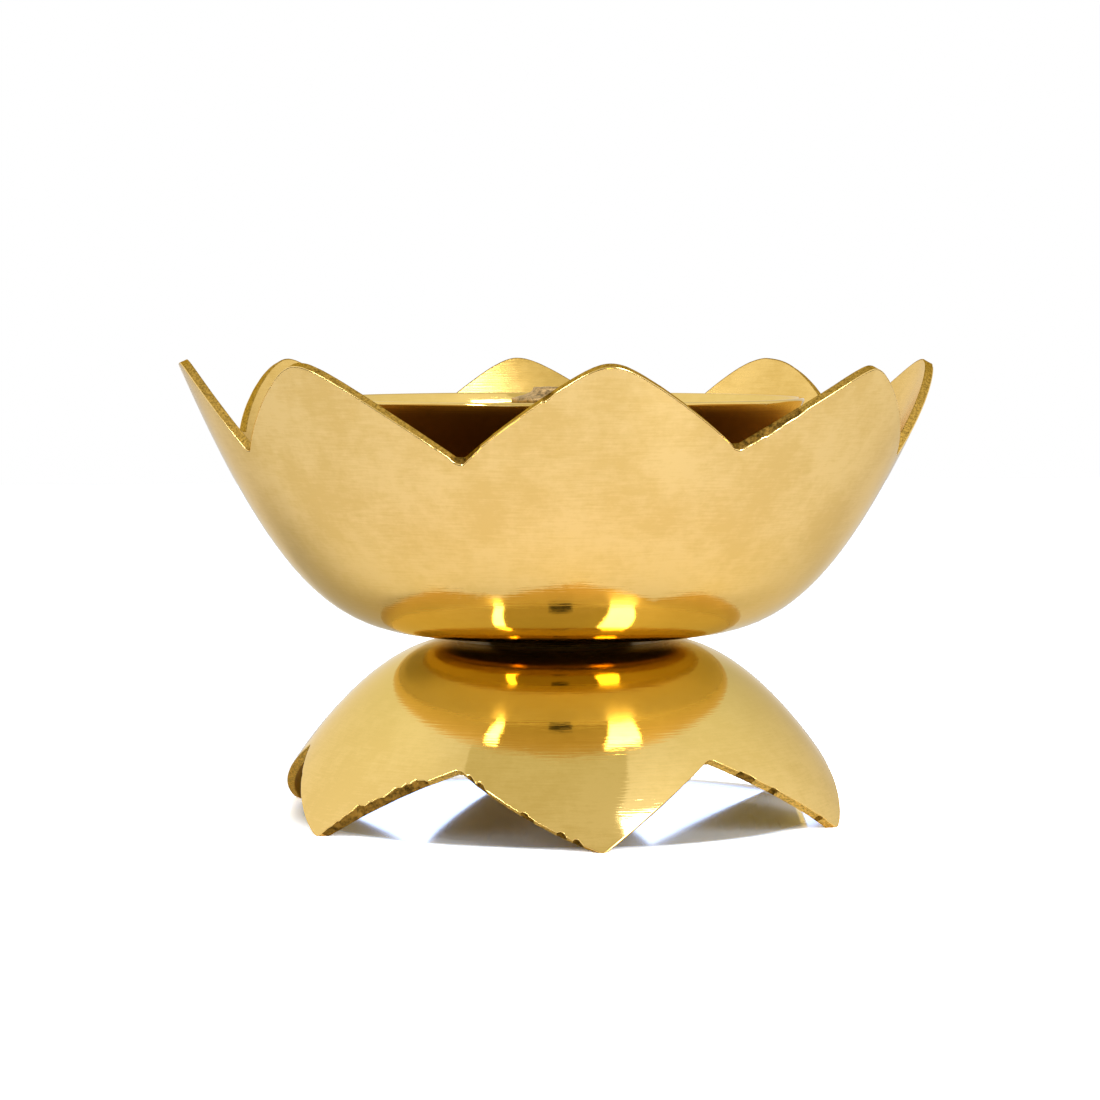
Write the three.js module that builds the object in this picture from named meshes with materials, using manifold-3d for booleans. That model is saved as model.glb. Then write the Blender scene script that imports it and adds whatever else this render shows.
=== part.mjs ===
// A lotus oil lamp in brass: a diya. A turned bowl, sawn into eight petals, stands on an upturned
// bowl that is sawn into six. An oil cup rides on a pillar in the middle of the flower, and
// one stud, with a nut under the base, holds the whole stack together. The wick holder stands loose
// in the cup and lifts straight out. Millimetres, +Z up, the table is z = 0, a petal faces -Y.
import * as THREE from 'three';
import Module from 'manifold-3d';
import { mergeVertices } from 'three/addons/utils/BufferGeometryUtils.js';

const wasm = await Module();
wasm.setup();

// Stud and what it passes through: an M6 thread
const studRadius = 3;
const threadClearance = 0.25;
const studEndBelowNut = 1.8;
const studEndGap = 0.3;
const nutAcrossFlats = 10;
const nutThickness = 5;
const nutCornerChamfer = 0.5;
const baseWasherRadius = 7;
const baseWasherThickness = 1.6;
const washerEdgeChamfer = 0.2;

// Base: an upturned bowl, sawn into petals that stand on their tips
const baseHeight = 29.25;
const baseWall = 1.5;
const baseCrownRadius = 18.3;
const baseCrownRun = 14.5;
const baseFootRadius = 49.3;
const baseFootLean = 15;
const baseFootRun = 6;
const basePetals = 6;
const baseTurn = -1.5;
const baseArchHeight = 11.8;
const baseTipFlat = 0.05;
const baseNotchFlat = 0.02;
const baseTipRoundness = [0.03, 0.06, 0.06, 0.06, 0.06, 0.05];
const baseTipDrift = [1, -0.3, 0, 0, 1.2, 0.7];
const baseNotchDrift = [-2.2, -2, 0, 0, 3.8, 1.1];
const baseNotchRise = [1, 1.2, 0, 0, 0.3, -0.1];
const baseLeftBow = [-0.05, 0.26, 0, 0, 0, 0];
const baseRightBow = [0.26, 0.07, 0, 0, 0, 0.37];

// Lotus bowl, on a washer above the base's crown
const neckWasherRadius = 12;
const neckWasherThickness = 1.25;
const bowlDepth = 45.2;
const bowlWall = 1.5;
const bowlFlatRadius = 23.2;
const bowlFlatRun = 16.7;
const bowlRimRadius = 63.85;
const bowlRimLean = 23.8;
const bowlRimRun = 35.2;
const bowlPetals = 8;
const bowlNotchDepth = 12.7;
const bowlNotchFlat = 0.03;
const bowlTipRoundness = [0.15, 0.09, 0.3, 0.4, 0.16, 0.15, 0.3, 0.17];
const bowlTipDrift = [-1.3, -2.2, 1.1, -0.2, -0.9, 0, 3.4, -5.3];
const bowlTipRise = [0, -0.6, -0.2, -0.5, -0.6, 0, 0, 0.3];
const bowlNotchDrift = [-2.6, 0.9, 0.7, -3.8, -2.5, 0, -4.1, -1.6];
const bowlNotchRise = [0.2, -2.3, 0.4, -2.2, -0.8, 0, 0.2, -1.8];

// Pillar between the bowl's floor and the oil cup
const pillarHeight = 6.25;
const pillarFootRadius = 10;
const pillarWaistRadius = 6;
const pillarHeadRadius = 8.5;
const pillarCollar = 1.4;

// Oil cup: a round dish with a rolled lip, and a cast boss below it for the stud
const cupRimRadius = 40.8;
const cupDepth = 28;
const cupWall = 1;
const cupBossRadius = 7.5;
const cupBossDrop = 3.5;
const cupSeatRadius = 9.5;
const cupFloorOverStud = 1.5;

// Wick holder: rough-cast, with a flared nozzle, a post and a slotted foot
const holderHeight = 27.6;
const holderBoreRadius = 2.2;
const holderMouthRadius = 4.5;
const holderMouthChamfer = 0.5;
const holderFlangeRadius = 8.2;
const holderFlangeDrop = 1.8;
const holderFlangeEdge = 0.7;
const holderPostRadius = 4;
const holderFootRadius = 8;
const holderFootThickness = 2;
const holderSlotWidth = 2.2;
const holderSlotHeight = 3.2;

// Fineness of the facets
const outlineSteps = 6;
const outlineCrowding = 1.6;
const shellRows = 8;
const boreFacets = 24;
const cupFacets = 48;
const cupArcSteps = 7;
const lipSteps = 4;
const pillarFacets = 24;
const holderFacets = 32;
const curveSteps = 5;

// Heights that follow from the stack, from the table up
const crownUnderside = baseHeight - baseWall;
const nutTop = crownUnderside - baseWasherThickness;
const studBottom = nutTop - nutThickness - studEndBelowNut;
const bowlUnderside = baseHeight + neckWasherThickness;
const bowlFloor = bowlUnderside + bowlWall;
const bossUnderside = bowlFloor + pillarHeight;
const cupUnderside = bossUnderside + cupBossDrop;
const boreRadius = studRadius + threadClearance;

const radians = THREE.MathUtils.degToRad;

const polishedBrass = new THREE.MeshStandardMaterial({ color: 0xe2be6e, metalness: 1, roughness: 0.28 });
const castBrass = new THREE.MeshStandardMaterial({ color: 0x8a6a3c, metalness: 1, roughness: 0.7 });
const zincSteel = new THREE.MeshStandardMaterial({ color: 0xb4b6b4, metalness: 1, roughness: 0.4 });

// Makes a solid of revolution from a closed profile of [radius, height] pairs, outer side upwards
function turned(profile, facets) {
  const points = profile.map(([radius, height]) => new THREE.Vector2(radius, height));
  return new THREE.LatheGeometry(points, facets).rotateX(Math.PI / 2);
}

// Points on a bezier curve in the profile plane, as [radius, height] pairs
function curvePoints(corners, steps) {
  const curve = new THREE.CubicBezierCurve(...corners.map(([r, z]) => new THREE.Vector2(r, z)));
  return curve.getPoints(steps).map((point) => [point.x, point.y]);
}

// Turns a three.js geometry into a solid that can be cut and joined
function toSolid(geometry) {
  const bare = geometry.clone();
  bare.deleteAttribute('normal');
  bare.deleteAttribute('uv');
  const merged = mergeVertices(bare, 1e-4);
  const vertProperties = new Float32Array(merged.attributes.position.array);
  const triVerts = new Uint32Array(merged.index.array);
  return new wasm.Manifold(new wasm.Mesh({ numProp: 3, vertProperties, triVerts }));
}

function toGeometry(solid) {
  const { vertProperties, triVerts } = solid.getMesh();
  const geometry = new THREE.BufferGeometry();
  geometry.setAttribute('position', new THREE.BufferAttribute(new Float32Array(vertProperties), 3));
  geometry.setIndex(new THREE.BufferAttribute(new Uint32Array(triVerts), 1));
  return geometry;
}

// Where a value that changes steadily along a curve reaches its target, for 0 to 1 along the curve
function findAlong(valueAt, target) {
  const rising = valueAt(1) > valueAt(0);
  let low = 0;
  let high = 1;
  for (let halving = 0; halving < 40; halving++) {
    const middle = (low + high) / 2;
    if ((valueAt(middle) < target) === rising) low = middle;
    else high = middle;
  }
  return (low + high) / 2;
}

// The saw's line down a petal's flank, for a way from 0 at the tip to 1 at the notch. It is a
// hyperbola, so a round tip runs into a nearly straight flank, which may bow a little.
function sawLine(way, roundness, bow) {
  const leaving = Math.hypot(way, roundness) - roundness;
  return leaving / (Math.hypot(1, roundness) - roundness) + bow * way * (1 - way);
}

// The sawn edge once round: an angle in degrees and a height at each step. A flat is the share of a
// flank that is level at its end. The lists are the small errors of a hand-held saw, petal by petal,
// counted from the first tip. A notch follows the tip of its number.
function petalOutline({
  petals, firstTip, tipHeight, notchHeight, tipFlat = 0, notchFlat, roundness,
  tipDrift, tipRise = [0], notchDrift, notchRise, leftBow = [0], rightBow = [0],
}) {
  const pitch = 360 / petals;
  const pick = (list, k) => list[((k + petals) % petals) % list.length];
  const ways = Array.from({ length: outlineSteps + 1 }, (none, step) => (step / outlineSteps) ** outlineCrowding);
  const outline = [];
  for (let k = 0; k < petals; k++) {
    const tip = firstTip + k * pitch + pick(tipDrift, k);
    const top = tipHeight + pick(tipRise, k);
    const flank = (notch, bow) => {
      const angle = firstTip + (notch + 0.5) * pitch + pick(notchDrift, notch);
      const low = notchHeight + pick(notchRise, notch);
      const at = (share, way) => ({
        angle: tip + (angle - tip) * share,
        height: top + (low - top) * sawLine(way, pick(roundness, k), pick(bow, k)),
      });
      const reach = 1 - notchFlat - tipFlat;
      return [...ways.map((way) => at(tipFlat + reach * way, way)), at(1, 1)];
    };
    const left = flank(k - 1, leftBow).reverse();
    const right = flank(k, rightBow);
    const middle = tipFlat > 0 ? [{ angle: tip, height: top }] : [];
    outline.push(...left, ...middle, ...right.slice(tipFlat > 0 ? 0 : 1, -1));
  }
  return outline;
}

// A bowl wall of even thickness, with a flat floor that has a bore, sawn along an outline. The curve
// is the show side, from the floor's rim outwards. Upright bowls have their cavity above the wall,
// upturned ones below it, and there the edge is filed level where it would reach below the table.
function petalShell({ curve, wall, outline, upturned }) {
  const inwards = upturned ? -1 : 1;
  const show = (t) => curve.getPoint(t);
  const hidden = (t) => {
    const { x, y } = curve.getTangent(t);
    return new THREE.Vector2(-y, x).multiplyScalar(inwards * wall).add(show(t));
  };
  const hiddenAtTable = upturned ? findAlong((t) => hidden(t).y, 0) : 1;
  const columns = outline.length;
  const positions = [];
  const faces = [];
  const place = (radius, angle, height) => {
    positions.push(radius * Math.cos(radians(angle)), radius * Math.sin(radians(angle)), height);
  };

  const addWall = (side, endOf) => {
    const ends = outline.map(({ height }) => endOf(findAlong((t) => show(t).y, height)));
    for (let row = 0; row <= shellRows; row++) {
      for (let column = 0; column < columns; column++) {
        const point = side((ends[column] * row) / shellRows);
        place(point.x, outline[column].angle, point.y);
      }
    }
  };
  addWall(show, (t) => t);
  addWall(hidden, (t) => Math.min(t, hiddenAtTable));
  const showAt = (row, column) => row * columns + (column % columns);
  const hiddenAt = (row, column) => (shellRows + 1) * columns + showAt(row, column);

  const boreStart = positions.length / 3;
  for (const height of [show(0).y, hidden(0).y]) {
    for (let facet = 0; facet < boreFacets; facet++) {
      place(boreRadius, outline[0].angle + (facet * 360) / boreFacets, height);
    }
  }
  const showBore = (facet) => boreStart + (facet % boreFacets);
  const hiddenBore = (facet) => showBore(facet) + boreFacets;

  const addQuad = (a, b, c, d) => faces.push([a, b, c], [a, c, d]);
  for (let column = 0; column < columns; column++) {
    const next = column + 1;
    for (let row = 0; row < shellRows; row++) {
      addQuad(showAt(row, column), showAt(row, next), showAt(row + 1, next), showAt(row + 1, column));
      addQuad(hiddenAt(row, column), hiddenAt(row + 1, column), hiddenAt(row + 1, next), hiddenAt(row, next));
    }
    addQuad(hiddenAt(shellRows, column), showAt(shellRows, column),
      showAt(shellRows, next), hiddenAt(shellRows, next));
  }
  for (let facet = 0; facet < boreFacets; facet++) {
    addQuad(showBore(facet), hiddenBore(facet), hiddenBore(facet + 1), showBore(facet + 1));
  }

  // The floor around the bore is flat, so both of its sides share one triangulation
  const flat = (index) => new THREE.Vector2(positions[3 * index], positions[3 * index + 1]);
  const ring = outline.map((step, column) => showAt(0, column));
  const bore = Array.from({ length: boreFacets }, (none, facet) => showBore(facet));
  const floorRing = [...ring, ...bore];
  for (const corners of THREE.ShapeUtils.triangulateShape(ring.map(flat), [bore.map(flat)])) {
    const [a, b, c] = corners.map((corner) => floorRing[corner]);
    const facesUp = THREE.ShapeUtils.area([a, b, c].map(flat)) > 0;
    const [first, second, third] = facesUp ? [a, c, b] : [a, b, c];
    const across = (index) => (index < boreStart ? hiddenAt(0, index) : index + boreFacets);
    faces.push([first, second, third], [across(first), across(third), across(second)]);
  }

  const geometry = new THREE.BufferGeometry();
  geometry.setAttribute('position', new THREE.Float32BufferAttribute(positions, 3));
  geometry.setIndex(faces.flatMap(([a, b, c]) => (upturned ? [a, c, b] : [a, b, c])));
  geometry.computeVertexNormals();
  return geometry;
}

function lotusBase() {
  const lean = radians(baseFootLean);
  const curve = new THREE.CubicBezierCurve(
    new THREE.Vector2(baseCrownRadius, baseHeight),
    new THREE.Vector2(baseCrownRadius + baseCrownRun, baseHeight),
    new THREE.Vector2(baseFootRadius - baseFootRun * Math.sin(lean), baseFootRun * Math.cos(lean)),
    new THREE.Vector2(baseFootRadius, 0),
  );
  const outline = petalOutline({
    petals: basePetals, firstTip: -90 + baseTurn, tipHeight: 0, notchHeight: baseArchHeight,
    tipFlat: baseTipFlat, notchFlat: baseNotchFlat, roundness: baseTipRoundness,
    tipDrift: baseTipDrift, notchDrift: baseNotchDrift, notchRise: baseNotchRise,
    leftBow: baseLeftBow, rightBow: baseRightBow,
  });
  return petalShell({ curve, wall: baseWall, outline, upturned: true });
}

function lotusBowl() {
  const lean = radians(bowlRimLean);
  const rimHeight = bowlUnderside + bowlDepth;
  const curve = new THREE.CubicBezierCurve(
    new THREE.Vector2(bowlFlatRadius, bowlUnderside),
    new THREE.Vector2(bowlFlatRadius + bowlFlatRun, bowlUnderside),
    new THREE.Vector2(bowlRimRadius - bowlRimRun * Math.sin(lean), rimHeight - bowlRimRun * Math.cos(lean)),
    new THREE.Vector2(bowlRimRadius, rimHeight),
  );
  const outline = petalOutline({
    petals: bowlPetals, firstTip: -90, tipHeight: rimHeight, notchHeight: rimHeight - bowlNotchDepth,
    notchFlat: bowlNotchFlat, roundness: bowlTipRoundness, tipDrift: bowlTipDrift,
    tipRise: bowlTipRise, notchDrift: bowlNotchDrift, notchRise: bowlNotchRise,
  });
  return petalShell({ curve, wall: bowlWall, outline, upturned: false });
}

// A flat washer with its edges broken
function washer(radius, underside, thickness) {
  const top = underside + thickness;
  const chamfer = washerEdgeChamfer;
  return turned([
    [boreRadius, underside], [radius - chamfer, underside], [radius, underside + chamfer],
    [radius, top - chamfer], [radius - chamfer, top], [boreRadius, top], [boreRadius, underside],
  ], pillarFacets);
}

function centreStud() {
  const top = cupSeatHeight - cupFloorOverStud - studEndGap;
  const chamfer = threadClearance * 2;
  return turned([
    [0, studBottom], [studRadius - chamfer, studBottom], [studRadius, studBottom + chamfer],
    [studRadius, top - chamfer], [studRadius - chamfer, top], [0, top],
  ], boreFacets);
}

// A hexagon nut: a prism whose corners are turned off top and bottom
function hexNut() {
  const cornerRadius = nutAcrossFlats / Math.sqrt(3);
  const bottom = nutTop - nutThickness;
  const hexagon = new THREE.Shape();
  for (let corner = 0; corner < 6; corner++) {
    const angle = radians(60 * corner);
    hexagon.lineTo(cornerRadius * Math.cos(angle), cornerRadius * Math.sin(angle));
  }
  hexagon.curves.shift();
  hexagon.holes.push(new THREE.Path().absarc(0, 0, boreRadius, 0, 2 * Math.PI));
  const prism = new THREE.ExtrudeGeometry(hexagon, {
    depth: nutThickness, bevelEnabled: false, curveSegments: boreFacets,
  }).translate(0, 0, bottom);
  const slope = nutCornerChamfer * 2;
  const blank = turned([
    [0, bottom], [cornerRadius - slope, bottom], [cornerRadius + slope, bottom + slope],
    [cornerRadius + slope, nutTop - slope], [cornerRadius - slope, nutTop], [0, nutTop],
  ], pillarFacets);
  return toGeometry(toSolid(prism).intersect(toSolid(blank)));
}

function cupPillar() {
  const foot = bowlFloor + pillarCollar;
  const head = bossUnderside - pillarCollar;
  const waist = curvePoints([
    [pillarFootRadius, foot], [pillarWaistRadius, foot + pillarCollar],
    [pillarWaistRadius, head - pillarCollar], [pillarHeadRadius, head],
  ], curveSteps + 1);
  return turned([
    [boreRadius, bowlFloor], [pillarFootRadius, bowlFloor], ...waist,
    [pillarHeadRadius, bossUnderside], [boreRadius, bossUnderside], [boreRadius, bowlFloor],
  ], pillarFacets);
}

// The cup's wall follows a ball. The ball through the middle of the wall passes through the middle
// of the lip and the lowest point of the floor.
const lipRadius = cupWall / 2;
const lipCentre = cupRimRadius - lipRadius;
const wallRise = cupDepth - cupWall;
const cupBall = (lipCentre ** 2 + wallRise ** 2) / (2 * wallRise);
const ballHeight = cupUnderside + lipRadius + cupBall;
const insideBall = cupBall - lipRadius;
const outsideBall = cupBall + lipRadius;
const cupSeatHeight = ballHeight - Math.sqrt(insideBall ** 2 - cupSeatRadius ** 2);

function oilCup() {
  const lipAngle = Math.asin(lipCentre / cupBall);
  const onBall = (radius, angle) => [radius * Math.sin(angle), ballHeight - radius * Math.cos(angle)];
  const arc = (radius, from, to) => Array.from({ length: cupArcSteps + 1 }, (none, step) => (
    onBall(radius, from + ((to - from) * step) / cupArcSteps)));
  const [lipR, lipZ] = onBall(cupBall, lipAngle);
  const lip = [];
  for (let step = 1; step < lipSteps; step++) {
    const angle = lipAngle - Math.PI / 2 + (Math.PI * step) / lipSteps;
    lip.push([lipR + lipRadius * Math.cos(angle), lipZ + lipRadius * Math.sin(angle)]);
  }
  const tapEnd = cupSeatHeight - cupFloorOverStud;
  return turned([
    [0, tapEnd], [boreRadius, tapEnd], [boreRadius, bossUnderside], [cupBossRadius, bossUnderside],
    ...arc(outsideBall, Math.asin(cupBossRadius / outsideBall), lipAngle),
    ...lip,
    ...arc(insideBall, lipAngle, Math.asin(cupSeatRadius / insideBall)),
    [0, cupSeatHeight],
  ], cupFacets);
}

function wickHolder() {
  const foot = cupSeatHeight;
  const top = foot + holderHeight;
  const flangeTop = top - holderFlangeDrop;
  const flangeUnderside = flangeTop - holderFlangeEdge;
  const nozzle = curvePoints([
    [holderFlangeRadius, flangeTop], [holderMouthRadius + holderFlangeEdge, flangeTop + holderFlangeEdge],
    [holderMouthRadius, top - holderFlangeEdge], [holderMouthRadius, top],
  ], curveSteps);
  const body = turned([
    [holderBoreRadius, foot], [holderFootRadius, foot], [holderFootRadius, foot + holderFootThickness],
    [holderPostRadius, foot + holderFootThickness + holderFlangeEdge],
    [holderPostRadius, flangeUnderside - holderFlangeEdge], [holderFlangeRadius, flangeUnderside],
    ...nozzle, [holderBoreRadius + holderMouthChamfer, top],
    [holderBoreRadius, top - holderMouthChamfer], [holderBoreRadius, foot],
  ], holderFacets);
  const slotLength = 2 * holderFootRadius + holderSlotWidth;
  const slotMiddle = foot + holderSlotHeight / 2 - holderMouthChamfer;
  const slotDepth = holderSlotHeight + 2 * holderMouthChamfer;
  const slot = new THREE.BoxGeometry(slotLength, holderSlotWidth, slotDepth).translate(0, 0, slotMiddle);
  const crossSlot = slot.clone().rotateZ(Math.PI / 2);
  return toGeometry(toSolid(body).subtract(toSolid(slot)).subtract(toSolid(crossSlot)));
}

const lamp = new THREE.Group();

function addPiece(name, geometry, material) {
  const piece = new THREE.Mesh(geometry, material);
  piece.name = name;
  lamp.add(piece);
}

addPiece('lotus_base', lotusBase(), polishedBrass);
addPiece('lotus_bowl', lotusBowl(), polishedBrass);
addPiece('neck_washer', washer(neckWasherRadius, baseHeight, neckWasherThickness), polishedBrass);
addPiece('cup_pillar', cupPillar(), polishedBrass);
addPiece('oil_cup', oilCup(), polishedBrass);
addPiece('wick_holder', wickHolder(), castBrass);
addPiece('centre_stud', centreStud(), zincSteel);
addPiece('base_washer', washer(baseWasherRadius, nutTop, baseWasherThickness), zincSteel);
addPiece('base_nut', hexNut(), zincSteel);

export default lamp;
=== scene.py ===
# %% [markdown]
# # A brass lotus lamp
#
# This notebook dresses a small brass oil lamp. The lamp is a lotus: a turned bowl that is sawn into
# petals stands on an upturned bowl that is sawn into feet. The frame that is loaded here already has
# every piece at its real size and place. Blender makes the fine surfaces, the metal and the light.

# %% Load the frame
import math

import bpy
import numpy as np
from mathutils import Matrix, Vector, noise


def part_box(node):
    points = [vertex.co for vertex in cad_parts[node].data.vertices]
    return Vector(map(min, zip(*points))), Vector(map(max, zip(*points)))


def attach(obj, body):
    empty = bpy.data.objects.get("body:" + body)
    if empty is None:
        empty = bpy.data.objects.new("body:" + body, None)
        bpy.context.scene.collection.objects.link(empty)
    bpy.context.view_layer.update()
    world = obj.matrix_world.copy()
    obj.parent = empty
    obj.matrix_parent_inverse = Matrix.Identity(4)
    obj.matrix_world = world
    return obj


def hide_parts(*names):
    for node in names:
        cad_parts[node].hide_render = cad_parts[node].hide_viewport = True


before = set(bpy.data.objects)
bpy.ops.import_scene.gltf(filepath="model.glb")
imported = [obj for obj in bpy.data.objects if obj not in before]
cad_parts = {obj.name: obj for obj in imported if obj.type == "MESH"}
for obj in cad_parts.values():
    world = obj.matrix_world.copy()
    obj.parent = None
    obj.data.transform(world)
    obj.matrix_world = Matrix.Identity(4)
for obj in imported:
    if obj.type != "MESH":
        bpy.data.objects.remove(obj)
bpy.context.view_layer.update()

MM = 0.001

# %% [markdown]
# ## The camera
#
# The lamp is seen from a little above its rim, through a long lens, so its circles are thin ellipses.
# The place is worked out from those ellipses: how flat each one is tells how high the eye is above
# it. A camera that is tilted down keeps other views of the lamp in the middle of the picture, which
# a lens shift wouldn't.

# %% Camera
EYE_DISTANCE = 611.5 * MM
EYE_HEIGHT = 83.5 * MM
EYE_AZIMUTH = math.radians(-8.3)
EYE_TILT = math.radians(3.685)
EYE_TURN = math.radians(0.165)
FILM_WIDTH = 36.0
LENS = 119.4

camera = bpy.data.objects.new("eye", bpy.data.cameras.new("eye"))
bpy.context.scene.collection.objects.link(camera)
camera.data.sensor_width = FILM_WIDTH
camera.data.lens = LENS
camera.location = (
    EYE_DISTANCE * math.sin(EYE_AZIMUTH), -EYE_DISTANCE * math.cos(EYE_AZIMUTH), EYE_HEIGHT,
)
camera.rotation_euler = (math.pi / 2 - EYE_TILT, 0, EYE_AZIMUTH + EYE_TURN)
bpy.context.scene.camera = camera
print("camera at", [round(v, 3) for v in camera.location])

# %% [markdown]
# ## Tools for turned pieces
#
# Nearly every piece of the lamp comes off a lathe. In Blender a turned piece starts as one point,
# which is extruded along half of the section and then spun round the axis. Spin leaves a double seam
# where it closes, so the doubles are merged, and only then can the normals be trusted.

# %% Turning
SAME_SPOT = MM / 1000


def deselect_all():
    bpy.ops.object.select_all(action="DESELECT")


def start_point(name, radius, height):
    """One vertex, ready to be extruded: a plane that is merged to its centre."""
    deselect_all()
    bpy.ops.mesh.primitive_plane_add(size=MM)
    piece = bpy.context.object
    piece.name = name
    piece.data.name = name
    bpy.ops.object.mode_set(mode="EDIT")
    bpy.ops.mesh.select_mode(type="VERT")
    bpy.ops.mesh.select_all(action="SELECT")
    bpy.ops.mesh.merge(type="CENTER")
    bpy.ops.transform.translate(value=(radius, 0, height))
    return piece


def turn(name, section, steps):
    """Extrudes a point along a section of (radius, height) pairs and spins it once round."""
    piece = start_point(name, *section[0])
    for (r0, z0), (r1, z1) in zip(section, section[1:]):
        bpy.ops.mesh.extrude_region_move(TRANSFORM_OT_translate={"value": (r1 - r0, 0, z1 - z0)})
    bpy.ops.object.mode_set(mode="OBJECT")
    lathe = piece.modifiers.new("lathe", "SCREW")
    lathe.axis = "Z"
    lathe.angle = 2 * math.pi
    lathe.steps = steps
    lathe.render_steps = steps
    lathe.use_merge_vertices = True
    lathe.merge_threshold = SAME_SPOT
    bpy.ops.object.modifier_apply(modifier="lathe")
    bpy.ops.object.mode_set(mode="EDIT")
    bpy.ops.mesh.select_all(action="SELECT")
    bpy.ops.mesh.remove_doubles(threshold=SAME_SPOT)
    bpy.ops.mesh.normals_make_consistent(inside=False)
    bpy.ops.object.mode_set(mode="OBJECT")
    bpy.ops.object.shade_smooth()
    return piece


def vertex_places(piece):
    places = np.zeros(len(piece.data.vertices) * 3)
    piece.data.vertices.foreach_get("co", places)
    return places.reshape(-1, 3)


def put_vertices(piece, places):
    piece.data.vertices.foreach_set("co", places.ravel())
    piece.data.update()


# %% [markdown]
# ## The petal bowls
#
# The flower and its foot are made the same way on the bench: a bowl is cast, turned and polished, and
# the petals are sawn out of its rim. Here a section of the wall is turned first. Then each column of
# vertices slides down its own wall until the top row lies on the saw's line, so the rows of faces
# follow the petals and the reflections stay clean. A boolean cut would leave long thin faces there.

# %% The curve of a wall
CURVE_STEPS = 4001


class WallCurve:
    """A bezier section of a bowl's show side, measured by the way along it, and the wall behind it."""

    def __init__(self, corners, wall, inwards):
        p0, p1, p2, p3 = np.array(corners, float)
        t = np.linspace(0, 1, CURVE_STEPS)[:, None]
        s = 1 - t
        self.points = s**3 * p0 + 3 * s**2 * t * p1 + 3 * s * t**2 * p2 + t**3 * p3
        slope = s**2 * (p1 - p0) + 2 * s * t * (p2 - p1) + t**2 * (p3 - p2)
        slope /= np.linalg.norm(slope, axis=1)[:, None]
        self.normals = np.stack([-slope[:, 1], slope[:, 0]], -1) * inwards
        steps = np.linalg.norm(np.diff(self.points, axis=0), axis=1)
        self.way = np.concatenate([[0], np.cumsum(steps)])
        self.length = self.way[-1]
        self.wall = wall

    def place(self, way, depth):
        """The point some way along the curve, sunk into the wall by a share of its thickness."""
        sunk = np.asarray(depth) * self.wall
        spot = []
        for axis in (0, 1):
            on_curve = np.interp(way, self.way, self.points[:, axis])
            spot.append(on_curve + np.interp(way, self.way, self.normals[:, axis]) * sunk)
        return np.stack(spot, -1)

    def way_to_height(self, height):
        order = np.argsort(self.points[:, 1])
        return np.interp(height, self.points[order, 1], self.way[order])

    def show_points(self, count):
        """Even points along the show side, as (radius, height)."""
        return [tuple(spot) for spot in self.place(np.linspace(0, self.length, count), 0)]


# %% [markdown]
# The wall is one strip: up the show side, over the sawn edge and down the hidden side. The rows crowd
# together at the edge, where its small bevel catches the light. A bevel modifier could round the edge
# too, but its rows wouldn't be ready for the chips that come later.

# %% Rows of the wall
ROW_CROWDING = 0.9
MARGIN = 2.4 * MM
# Each row at the edge: how far it is set back from the edge in mm, and its depth in the wall, 0 to 1.
EDGE_ROWS = [
    (1.8, 0.0), (1.3, 0.0), (0.9, 0.0), (0.6, 0.0), (0.4, 0.0), (0.25, 0.0), (0.1, 0.0), (0.02, 0.02),
    (0.0, 0.1), (0.0, 0.22), (0.0, 0.34), (0.0, 0.46), (0.0, 0.58), (0.0, 0.7), (0.0, 0.81), (0.0, 0.91),
    (0.04, 0.98), (0.25, 1.0), (0.6, 1.0), (1.3, 1.0),
]


def wall_rows(count):
    """Rows of a wall's section, each as (share of the way up to the margin, way past it, depth)."""
    shares = [(i / count) ** ROW_CROWDING for i in range(count + 1)]
    show = [(share, 0.0, 0.0) for share in shares]
    hidden = [(share, 0.0, 1.0) for share in reversed(shares)]
    edge = [(1.0, MARGIN - set_back * MM, depth) for set_back, depth in EDGE_ROWS]
    return np.array(show + edge + hidden)


def section_of(curve, rows):
    return curve.place(rows[:, 0] * (curve.length - MARGIN) + rows[:, 1], rows[:, 2])


# %% [markdown]
# ### The saw's line
#
# A petal's outline is a hyperbola: round at the tip and nearly straight down the flanks. The real
# petals were cut by hand, so each tip and notch is a degree or two out and a little high or low.

# %% Saw line
def petal_heights(angles, cut):
    """The height of the sawn edge at each angle in degrees."""
    petals = cut["petals"]
    pitch = 360 / petals
    heights = np.full(len(angles), cut["tip_height"])
    for k in range(petals):
        tip = cut["first_tip"] + k * pitch + cut["tip_drift"][k]
        top = cut["tip_height"] + cut["tip_rise"][k] * MM
        roundness = cut["roundness"][k]
        for side, j in ((-1, (k - 1) % petals), (1, k)):
            notch = cut["first_tip"] + (k + side / 2) * pitch + cut["notch_drift"][j]
            low = cut["notch_height"] + cut["notch_rise"][j] * MM
            away = ((angles - tip) * side + 180) % 360 - 180
            share = away / ((notch - tip) * side)
            here = (share >= 0) & (share <= 1)
            along = (share[here] - cut["tip_flat"]) / (1 - cut["notch_flat"] - cut["tip_flat"])
            along = np.clip(along, 0, 1)
            fall = np.hypot(along, roundness) - roundness
            fall /= np.hypot(1, roundness) - roundness
            fall += cut["bow"][side][k] * along * (1 - along)
            heights[here] = top + (low - top) * fall
    return heights


SEED_STEP = 7.0


def wobble(angles, strength, seed, lumps=(9.0, 31.0, 90.0)):
    """Waviness of a hand-held tool round the rim: a few sizes of lumps, the small ones lower."""
    out = np.zeros(len(angles))
    for size, lump in enumerate(lumps):
        for i, angle in enumerate(np.radians(angles)):
            reach = lump / 3
            lift = seed + SEED_STEP * size
            spot = Vector((math.cos(angle) * reach, math.sin(angle) * reach, lift))
            out[i] += noise.noise(spot) / (size + 1.0)
    return out * strength


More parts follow.
